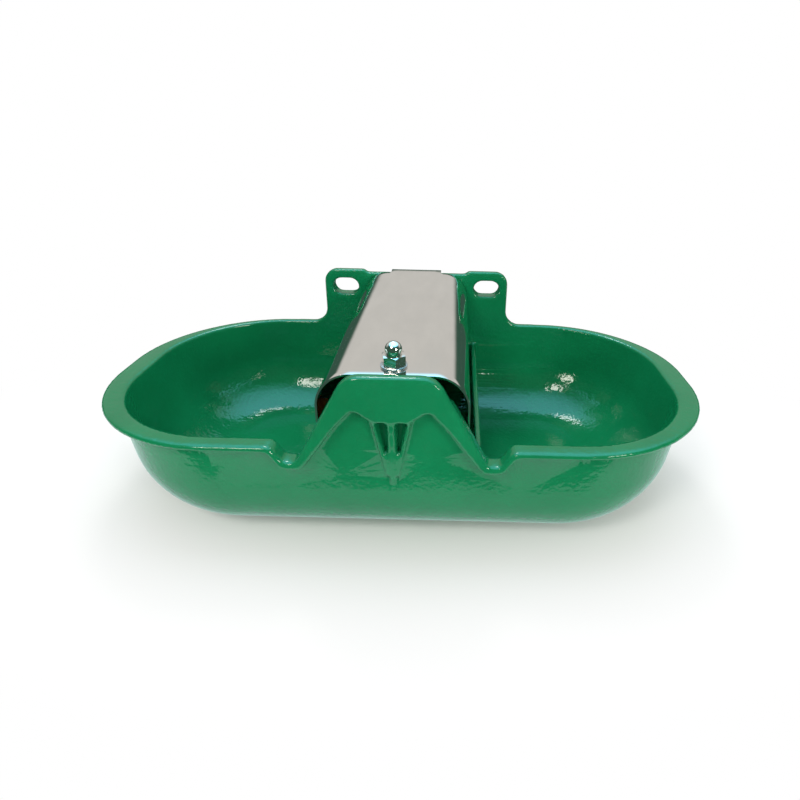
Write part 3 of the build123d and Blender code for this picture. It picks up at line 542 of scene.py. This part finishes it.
# ---------------------------------------------------------------- cover
def cover_outline(high, steps):
    """Outer section of the cover: (x, z, outward x, outward z) from one foot to the other."""
    steel = settings("steel")
    half = high.x
    radius = half - steel.flat_half
    top = high.z
    foot = top - steel.fall
    side = [(half, foot + (top - radius - foot) * step / 6, 1.0, 0.0) for step in range(6)]
    for step in range(steps + 1):
        angle = math.pi / 2 * step / steps
        side.append((steel.flat_half + radius * math.cos(angle), top - radius + radius * math.sin(angle),
                     math.cos(angle), math.sin(angle)))
    side.append((steel.tongue_half, top, 0.0, 1.0))
    side += [(steel.tongue_half * share, top, 0.0, 1.0) for share in (0.75, 0.5, 0.25)]
    other = [(-x, z, -out_x, out_z) for x, z, out_x, out_z in reversed(side)]
    return side + [(0.0, top, 0.0, 1.0)] + other


class BOWL_OT_cover(bpy.types.Operator):
    """Folded mirror sheet with its rear tongue and hook"""

    bl_idname = "bowl.cover"
    bl_label = "Cover"

    def execute(self, context):
        steel = settings("steel")
        low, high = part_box("float_cover")
        section = cover_outline(high, steps=18)
        slope = math.tan(steel.slope)
        seat = CAD_LOW.y + settings("casting").depth - settings("casting").rear_rim
        rear = seat - steel.gap
        steps = 40
        rows = [low.y + (rear - low.y) * step / steps for step in range(steps + 1)]
        made = bmesh.new()
        grid = []
        for row in rows:
            fall = (seat - row) * slope
            grid.append([made.verts.new((x, row, z - fall)) for x, z, _, _ in section])
        for near, far in zip(grid, grid[1:]):
            for column in range(len(section) - 1):
                made.faces.new((near[column], near[column + 1], far[column + 1], far[column]))
        tongue = [column for column, point in enumerate(section)
                  if abs(point[0]) <= steel.tongue_half + MERGE and point[3] == 1.0]
        bend = steel.sheet
        hook = high.y - bend
        past = [(hook, 0.0)]
        for angle in map(math.radians, (22.5, 45, 67.5, 90)):
            past.append((hook + bend * math.sin(angle), -bend * (1 - math.cos(angle))))
        past.append((high.y, -steel.lip))
        last = [grid[-1][column] for column in tongue]
        for row, drop in past:
            fall = (seat - row) * slope
            fresh = [made.verts.new((section[column][0], row, section[column][1] - fall + drop))
                     for column in tongue]
            for index in range(len(tongue) - 1):
                made.faces.new((last[index], last[index + 1], fresh[index + 1], fresh[index]))
            last = fresh
        bmesh.ops.recalc_face_normals(made, faces=made.faces)
        top_face = max(made.faces, key=lambda face: face.calc_center_median().z)
        if top_face.normal.z < 0:
            bmesh.ops.reverse_faces(made, faces=made.faces)
        mesh = plain_mesh("cover_sheet", made)
        mesh = applied(mesh, ("SOLIDIFY", {"thickness": steel.sheet, "offset": -1.0}),
                       ("BEVEL", {"width": 0.0004, "segments": 3, "limit_method": "ANGLE",
                                  "angle_limit": math.radians(50)}))
        mesh.name = "cover_sheet"
        mesh.shade_smooth()
        mesh.set_sharp_from_angle(angle=math.radians(40))
        add_piece("cover_sheet", mesh, finish_of("stainless"), "float_cover")
        return {"FINISHED"}


class BOWL_OT_cap_nut(bpy.types.Operator):
    """Domed cap nut with a chamfered hexagon and a neck"""

    bl_idname = "bowl.cap_nut"
    bl_label = "Cap nut"

    def execute(self, context):
        steel = settings("steel")
        axis = Matrix.Rotation(steel.slope, 3, "X") @ UP
        washer_low, washer_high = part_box("cover_washer")
        seat = (washer_low + washer_high) / 2 + axis * MM
        radius = steel.nut_dome / 2
        spring = steel.nut_height - radius
        made = hexagon(steel.nut_flats, steel.nut_hexagon, 0.22 * MM, seat, axis)
        dome = [(0.0, steel.nut_hexagon - MM), (radius, steel.nut_hexagon - MM), (radius, spring)]
        for angle in map(math.radians, range(8, 91, 8)):
            dome.append((radius * math.cos(angle), spring + radius * math.sin(angle)))
        dome.append((0.0, steel.nut_height))
        part = plain_mesh("dome", revolved(dome, seat, axis, 48))
        made.from_mesh(part)
        bmesh.ops.recalc_face_normals(made, faces=made.faces)
        mesh = plain_mesh("cap_nut", made)
        mesh.set_sharp_from_angle(angle=math.radians(28))
        add_piece("cap_nut", mesh, finish_of("stainless"), "cover_cap_nut")
        return {"FINISHED"}


def hexagon(flats, height, chamfer, seat, axis, steps=12):
    """Hexagon with its corners turned off above, as a bmesh."""
    made = bmesh.new()
    side = axis.orthogonal().normalized()
    count = 6 * steps
    inner = flats / 2
    levels = []
    for step in range(count):
        within = (step % steps) / steps * math.radians(60) - math.radians(30)
        corner = inner / math.cos(within)
        drop = (corner - inner) * 0.55
        direction = Matrix.Rotation(math.tau * step / count, 3, axis) @ side
        levels.append([
            made.verts.new(seat + direction * inner / 2),
            made.verts.new(seat + direction * corner),
            made.verts.new(seat + direction * corner + axis * (height - drop)),
            made.verts.new(seat + direction * (inner - chamfer) + axis * height),
            made.verts.new(seat + direction * inner / 2 + axis * height),
        ])
    for here, there in zip(levels, levels[1:] + levels[:1]):
        for level in range(4):
            made.faces.new((here[level], there[level], there[level + 1], here[level + 1]))
        made.faces.new((here[4], there[4], there[0], here[0]))
    return made


# ---------------------------------------------------------------- threads
def thread_tree():
    """Node tree that winds a ridge round Z, from its start upwards."""
    tree = bpy.data.node_groups.get("thread") or bpy.data.node_groups.new("thread", "GeometryNodeTree")
    if tree.nodes:
        return tree
    face = tree.interface
    for name, kind in (("Mean radius", "NodeSocketFloat"), ("Turns", "NodeSocketFloat"),
                       ("Length", "NodeSocketFloat"), ("Ridge", "NodeSocketFloat"),
                       ("Steps", "NodeSocketInt"), ("Finish", "NodeSocketMaterial")):
        face.new_socket(name, in_out="INPUT", socket_type=kind)
    face.new_socket("Geometry", in_out="OUTPUT", socket_type="NodeSocketGeometry")
    given = tree.nodes.new("NodeGroupInput")
    spiral = tree.nodes.new("GeometryNodeCurveSpiral")
    profile = tree.nodes.new("GeometryNodeCurvePrimitiveCircle")
    profile.inputs["Resolution"].default_value = 4
    swept = tree.nodes.new("GeometryNodeCurveToMesh")
    swept.inputs["Fill Caps"].default_value = True
    real = tree.nodes.new("GeometryNodeRealizeInstances")
    finish = tree.nodes.new("GeometryNodeSetMaterial")
    result = tree.nodes.new("NodeGroupOutput")
    link = tree.links.new
    link(given.outputs["Steps"], spiral.inputs["Resolution"])
    link(given.outputs["Turns"], spiral.inputs["Rotations"])
    link(given.outputs["Mean radius"], spiral.inputs["Start Radius"])
    link(given.outputs["Mean radius"], spiral.inputs["End Radius"])
    link(given.outputs["Length"], spiral.inputs["Height"])
    link(given.outputs["Ridge"], profile.inputs["Radius"])
    link(spiral.outputs["Curve"], swept.inputs["Curve"])
    link(profile.outputs["Curve"], swept.inputs["Profile Curve"])
    link(swept.outputs["Mesh"], real.inputs["Geometry"])
    link(real.outputs["Geometry"], finish.inputs["Geometry"])
    link(given.outputs["Finish"], finish.inputs["Material"])
    link(finish.outputs["Geometry"], result.inputs["Geometry"])
    return tree


def wound_thread(name, node, crest, depth, pitch, start, length):
    """A thread on a fitting of a node: crest radius, depth and pitch, from start along +Y."""
    tree = thread_tree()
    holder = bpy.data.objects.new(name, bpy.data.meshes.new(name))
    bpy.context.scene.collection.objects.link(holder)
    modifier = holder.modifiers.new("thread", "NODES")
    modifier.node_group = tree
    ridge = depth / 2
    values = {"Mean radius": crest - ridge, "Turns": length / pitch, "Length": length, "Ridge": ridge,
              "Steps": 20, "Finish": finish_of(SLOT[node])}
    for item in tree.interface.items_tree:
        if item.item_type == "SOCKET" and item.in_out == "INPUT":
            modifier[item.identifier] = values[item.name]
    holder.update_tag()
    graph = bpy.context.evaluated_depsgraph_get()
    mesh = bpy.data.meshes.new_from_object(holder.evaluated_get(graph))
    bpy.data.objects.remove(holder)
    turn = Vector((0, 1, 0)).to_track_quat("Z", "Y").to_matrix().to_4x4()
    mesh.transform(Matrix.Translation(start) @ turn)
    made = bmesh.new()
    made.from_mesh(mesh)
    bmesh.ops.recalc_face_normals(made, faces=made.faces)
    mesh = plain_mesh(name, made)
    mesh.set_sharp_from_angle(angle=math.radians(40))
    add_piece(name, mesh, finish_of(SLOT[node]), node)


class BOWL_OT_threads(bpy.types.Operator):
    """Threads of the inlet shank and the adjusting screw"""

    bl_idname = "bowl.threads"
    bl_label = "Threads"

    def execute(self, context):
        valve = settings("valve")
        nut_low, nut_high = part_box("inlet_lock_nut")
        start = Vector((0, nut_high.y + MM, (nut_low.z + nut_high.z) / 2))
        shank_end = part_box("valve_body")[1].y
        wound_thread("inlet_thread", "valve_body", valve.pipe_crest, valve.pipe_depth, valve.pipe_pitch,
                     start, shank_end - nut_high.y - 2.2 * MM)
        low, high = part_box("adjust_screw")
        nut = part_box("adjust_lock_nut")[0].y
        wound_thread("adjust_thread", "adjust_screw", valve.screw_crest, valve.screw_depth,
                     valve.screw_pitch, Vector((0, nut - 1.2 * MM, (low.z + high.z) / 2)), high.y - nut)
        return {"FINISHED"}


# ---------------------------------------------------------------- small fittings
def fitting(node, edge=None):
    """A CAD fitting with its edges broken, by the usual width or its own."""
    made = merged(node)
    bmesh.ops.dissolve_limit(made, angle_limit=math.radians(0.5), verts=made.verts, edges=made.edges)
    mesh = plain_mesh(node, made)
    mesh = applied(mesh, ("BEVEL", {"width": edge or settings("valve").edge, "segments": 2,
                                    "limit_method": "ANGLE", "angle_limit": math.radians(32),
                                    "use_clamp_overlap": True}))
    mesh.name = node + "_fitting"
    mesh.shade_smooth()
    mesh.set_sharp_from_angle(angle=math.radians(30))
    add_piece(node + "_fitting", mesh, finish_of(SLOT[node]), node)


class BOWL_OT_fittings(bpy.types.Operator):
    """Washers, nuts, pins, seals and the lever with their edges broken"""

    bl_idname = "bowl.fittings"
    bl_label = "Small fittings"

    def execute(self, context):
        for node in ("cover_washer", "cover_stud", "inlet_gasket", "inlet_washer", "inlet_lock_nut",
                     "inlet_strainer", "valve_nozzle", "nozzle_ring", "valve_cap", "valve_plunger",
                     "plunger_seal", "float_lever", "pivot_pin", "pivot_split_pin", "adjust_screw",
                     "adjust_lock_nut", "float_screw", "float_washer", "float_nut", "valve_body"):
            fitting(node)
        fitting("float_block", edge=0.0012)
        self.thin_shank()
        return {"FINISHED"}

    def thin_shank(self):
        """The inlet shank drawn in to the root of its thread."""
        valve = settings("valve")
        mesh = bpy.data.objects["valve_body_fitting"].data
        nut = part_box("inlet_lock_nut")
        axis_height = (nut[0].z + nut[1].z) / 2
        points = points_of(mesh)
        radius = np.hypot(points[:, 0], points[:, 2] - axis_height)
        shank = (points[:, 1] > nut[0].y + 0.2 * MM) & (radius > 9.6 * MM) & (radius < 10.6 * MM)
        share = np.where(shank, 1 - valve.pipe_depth / np.maximum(radius, MM), 1)
        points[:, 0] *= share
        points[:, 2] = axis_height + (points[:, 2] - axis_height) * share
        mesh.vertices.foreach_set("co", points.ravel())


# ---------------------------------------------------------------- stage
class BOWL_OT_stage(bpy.types.Operator):
    """Camera, soft studio light and pale floor"""

    bl_idname = "bowl.stage"
    bl_label = "Stage"

    def execute(self, context):
        stage = settings("stage")
        self.camera(stage)
        self.world(stage)
        self.floor(stage)
        self.lamps()
        bpy.context.scene.view_settings.view_transform = "Standard"
        return {"FINISHED"}

    def camera(self, stage):
        """The camera, placed and turned by the settings."""
        data = bpy.data.cameras.new("camera")
        data.lens = stage.lens
        data.sensor_width = 36.0
        data.shift_x, data.shift_y = stage.shift
        data.clip_start, data.clip_end = 0.01, 100.0
        camera = bpy.data.objects.new("camera", data)
        bpy.context.scene.collection.objects.link(camera)
        ahead = Vector(stage.heading).normalized()
        right = ahead.cross(UP).normalized()
        above = right.cross(ahead)
        turn = Matrix.Rotation(-stage.roll, 3, ahead)
        axes = Matrix((turn @ right, turn @ above, -ahead)).transposed()
        camera.matrix_world = Matrix.Translation(stage.place) @ axes.to_4x4()
        bpy.context.scene.camera = camera

    def world(self, stage):
        """White to the eye, even fill for the light, and a studio seen in the gloss."""
        world = bpy.data.worlds.new("studio")
        world.use_nodes = True
        nodes, links = world.node_tree.nodes, world.node_tree.links
        nodes.clear()
        path = nodes.new("ShaderNodeLightPath")
        split = nodes.new("ShaderNodeSeparateXYZ")
        links.new(nodes.new("ShaderNodeTexCoord").outputs["Generated"], split.inputs[0])
        fill = self.background(nodes, stage.fill_tint, stage.fill)
        white = self.background(nodes, (1, 1, 1), 1.0)
        room = self.background(nodes, stage.room_front, 1.0)
        wall = self.background(nodes, stage.room_wall, 1.0)
        sky = self.background(nodes, stage.room_sky, 1.0)
        to_wall = self.rise(nodes, links, split.outputs["Y"], -0.1, 0.55)
        off_ground = self.rise(nodes, links, split.outputs["Z"], 0.13, 0.26)
        walls = self.blended(nodes, links, to_wall, room, wall)
        walls = self.blended(nodes, links, off_ground, room, walls)
        height = nodes.new("ShaderNodeMath")
        height.operation = "MULTIPLY_ADD"
        height.inputs[1].default_value = 0.15
        links.new(split.outputs["Y"], height.inputs[0])
        links.new(split.outputs["Z"], height.inputs[2])
        overhead = self.rise(nodes, links, height.outputs[0], 0.60, 1.00)
        studio = self.blended(nodes, links, overhead, walls, sky)
        lit = self.blended(nodes, links, path.outputs["Is Glossy Ray"], fill, studio)
        seen = self.either(nodes, links, path.outputs["Is Camera Ray"], path.outputs["Is Transmission Ray"])
        output = nodes.new("ShaderNodeOutputWorld")
        links.new(self.blended(nodes, links, seen, lit, white), output.inputs["Surface"])
        bpy.context.scene.world = world

    def background(self, nodes, tint, strength):
        """Even light of one tint."""
        node = nodes.new("ShaderNodeBackground")
        node.inputs["Color"].default_value = (*tint, 1)
        node.inputs["Strength"].default_value = strength
        return node.outputs[0]

    def blended(self, nodes, links, share, first, second):
        """The first shader at share 0, the second at 1."""
        node = nodes.new("ShaderNodeMixShader")
        links.new(share, node.inputs["Fac"])
        links.new(first, node.inputs[1])
        links.new(second, node.inputs[2])
        return node.outputs[0]

    def rise(self, nodes, links, value, low, high):
        """A smooth step from 0 at low to 1 at high."""
        node = nodes.new("ShaderNodeMapRange")
        node.interpolation_type = "SMOOTHSTEP"
        node.inputs["From Min"].default_value = low
        node.inputs["From Max"].default_value = high
        links.new(value, node.inputs["Value"])
        return node.outputs["Result"]

    def either(self, nodes, links, first, second):
        """The greater of two values."""
        node = nodes.new("ShaderNodeMath")
        node.operation = "MAXIMUM"
        links.new(first, node.inputs[0])
        links.new(second, node.inputs[1])
        return node.outputs["Value"]

    def floor(self, stage):
        """A wide pale floor that turns to plain white away from the bowl."""
        floor = self.card("floor", Vector((0, 0, 0)), 60.0, 60.0)
        material = bpy.data.materials.new("floor")
        material.use_nodes = True
        nodes, links = material.node_tree.nodes, material.node_tree.links
        surface = nodes["Principled BSDF"]
        surface.inputs["Base Color"].default_value = (*stage.floor_tint, 1)
        surface.inputs["Roughness"].default_value = 0.9
        surface.inputs["Specular IOR Level"].default_value = 0.1
        white = nodes.new("ShaderNodeEmission")
        white.inputs["Strength"].default_value = 1.0
        tone = nodes.new("ShaderNodeMix")
        tone.data_type = "RGBA"
        tone.inputs["A"].default_value = (*stage.sheet_tone, 1)
        tone.inputs["B"].default_value = (1, 1, 1, 1)
        links.new(tone.outputs["Result"], white.inputs["Color"])
        oval = nodes.new("ShaderNodeVectorMath")
        oval.operation = "MULTIPLY"
        oval.inputs[1].default_value = (0.55, 1.0, 1.0)
        away = nodes.new("ShaderNodeVectorMath")
        away.operation = "LENGTH"
        links.new(nodes.new("ShaderNodeTexCoord").outputs["Object"], oval.inputs[0])
        links.new(oval.outputs["Vector"], away.inputs[0])
        path = nodes.new("ShaderNodeLightPath")
        links.new(path.outputs["Is Camera Ray"], tone.inputs["Factor"])
        seen = nodes.new("ShaderNodeMath")
        seen.operation = "MULTIPLY"
        links.new(self.rise(nodes, links, away.outputs["Value"], 0.07, 0.30), seen.inputs[0])
        links.new(path.outputs["Is Camera Ray"], seen.inputs[1])
        gloss = nodes.new("ShaderNodeMath")
        gloss.operation = "MULTIPLY"
        gloss.inputs[1].default_value = stage.sheet_share
        mirrored = self.either(nodes, links, path.outputs["Is Glossy Ray"], path.outputs["Is Transmission Ray"])
        links.new(mirrored, gloss.inputs[0])
        share = self.either(nodes, links, seen.outputs["Value"], gloss.outputs["Value"])
        links.new(self.blended(nodes, links, share, surface.outputs[0], white.outputs[0]),
                  nodes["Material Output"].inputs["Surface"])
        floor.data.materials.append(material)
        self.dark_surround(stage)

    def dark_surround(self, stage):
        """Unlit ground past the pale sheet, which only the gloss of the bowl shows."""
        dark = bpy.data.materials.new("dark_surround")
        dark.use_nodes = True
        nodes, links = dark.node_tree.nodes, dark.node_tree.links
        nodes.remove(nodes["Principled BSDF"])
        glow = nodes.new("ShaderNodeEmission")
        glow.inputs["Color"].default_value = (*stage.room_front, 1)
        links.new(glow.outputs[0], nodes["Material Output"].inputs["Surface"])
        reach, lift = 28.0, 0.5 * MM
        places = {"front": CAD_LOW.y - stage.sheet_edge - reach / 2,
                  "rear": CAD_HIGH.y + 3 * stage.sheet_edge + reach / 2}
        for name, place in places.items():
            strip = self.card("surround_" + name, Vector((0, place, lift)), 2 * reach, reach)
            strip.data.materials.append(dark)
            strip.visible_camera = False
            strip.visible_diffuse = False
            strip.visible_shadow = False

    def card(self, name, centre, width, depth):
        """A flat staged card that faces up."""
        made = bmesh.new()
        made.faces.new([made.verts.new(centre + Vector((width * x / 2, depth * y / 2, 0)))
                        for x, y in ((-1, -1), (1, -1), (1, 1), (-1, 1))])
        mesh = bpy.data.meshes.new(name)
        made.to_mesh(mesh)
        made.free()
        card = bpy.data.objects.new(name, mesh)
        bpy.context.scene.collection.objects.link(card)
        return card

    def lamps(self):
        """Soft light from overhead and ahead, and small bright windows for the sparkle."""
        day, pale = (1.0, 0.98, 0.92), (1.0, 0.98, 0.94)
        self.lamp("overhead", 0, 70, (2.6, 2.2), 1.50, (0.84, 0.97, 1.10), gloss=False)
        self.lamp("ahead", -170, 35, (2.4, 1.6), 0.50, pale, gloss=False)
        self.lamp("window_left", -150, 46, (0.60, 0.55), 15.0, day)
        self.lamp("window_right", 139, 20, (0.55, 0.45), 20.0, day)
        self.lamp("window_back", -14, 60, (0.50, 0.50), 12.0, pale)

    def lamp(self, name, azimuth, elevation, size, radiance, tint, gloss=True):
        """An area lamp: azimuth 0 is at the wall and 90 at the right end, in degrees."""
        distance = 2.4
        data = bpy.data.lights.new(name, "AREA")
        data.shape = "RECTANGLE"
        data.size, data.size_y = size
        data.energy = radiance * math.pi * size[0] * size[1]
        data.color = tint
        turn, rise = math.radians(azimuth), math.radians(elevation)
        away = Vector((math.sin(turn) * math.cos(rise), math.cos(turn) * math.cos(rise), math.sin(rise)))
        facing = away.to_track_quat("Z", "Y").to_matrix().to_4x4()
        lamp = bpy.data.objects.new(name, data)
        bpy.context.scene.collection.objects.link(lamp)
        lamp.matrix_world = Matrix.Translation(away * distance) @ facing
        lamp.visible_glossy = gloss


# ---------------------------------------------------------------- add-on
OPERATORS = (BOWL_OT_stage, BOWL_OT_casting, BOWL_OT_cover, BOWL_OT_cap_nut, BOWL_OT_fittings,
             BOWL_OT_threads)
GROUPS = {"casting": CastingSettings, "steel": SteelSettings, "valve": ValveSettings, "stage": StageSettings}


class BOWL_PT_panel(bpy.types.Panel):
    """Lists the operators of the drinking bowl"""

    bl_idname = "BOWL_PT_panel"
    bl_label = "Drinking Bowl"
    bl_space_type = "VIEW_3D"
    bl_region_type = "UI"
    bl_category = "Drinking Bowl"

    def draw(self, context):
        for operator in OPERATORS:
            self.layout.operator(operator.bl_idname)


def register():
    for group in GROUPS.values():
        bpy.utils.register_class(group)
    for name, group in GROUPS.items():
        setattr(bpy.types.Scene, "bowl_" + name, PointerProperty(type=group))
    for operator in OPERATORS:
        bpy.utils.register_class(operator)
    bpy.utils.register_class(BOWL_PT_panel)


def unregister():
    bpy.utils.unregister_class(BOWL_PT_panel)
    for operator in reversed(OPERATORS):
        bpy.utils.unregister_class(operator)
    for name, group in GROUPS.items():
        delattr(bpy.types.Scene, "bowl_" + name)
        bpy.utils.unregister_class(group)


def main():
    """Make every piece and the stage in order."""
    register()
    for operator in OPERATORS:
        group, name = operator.bl_idname.split(".")
        getattr(getattr(bpy.ops, group), name)()


if __name__ == "__main__":
    main()
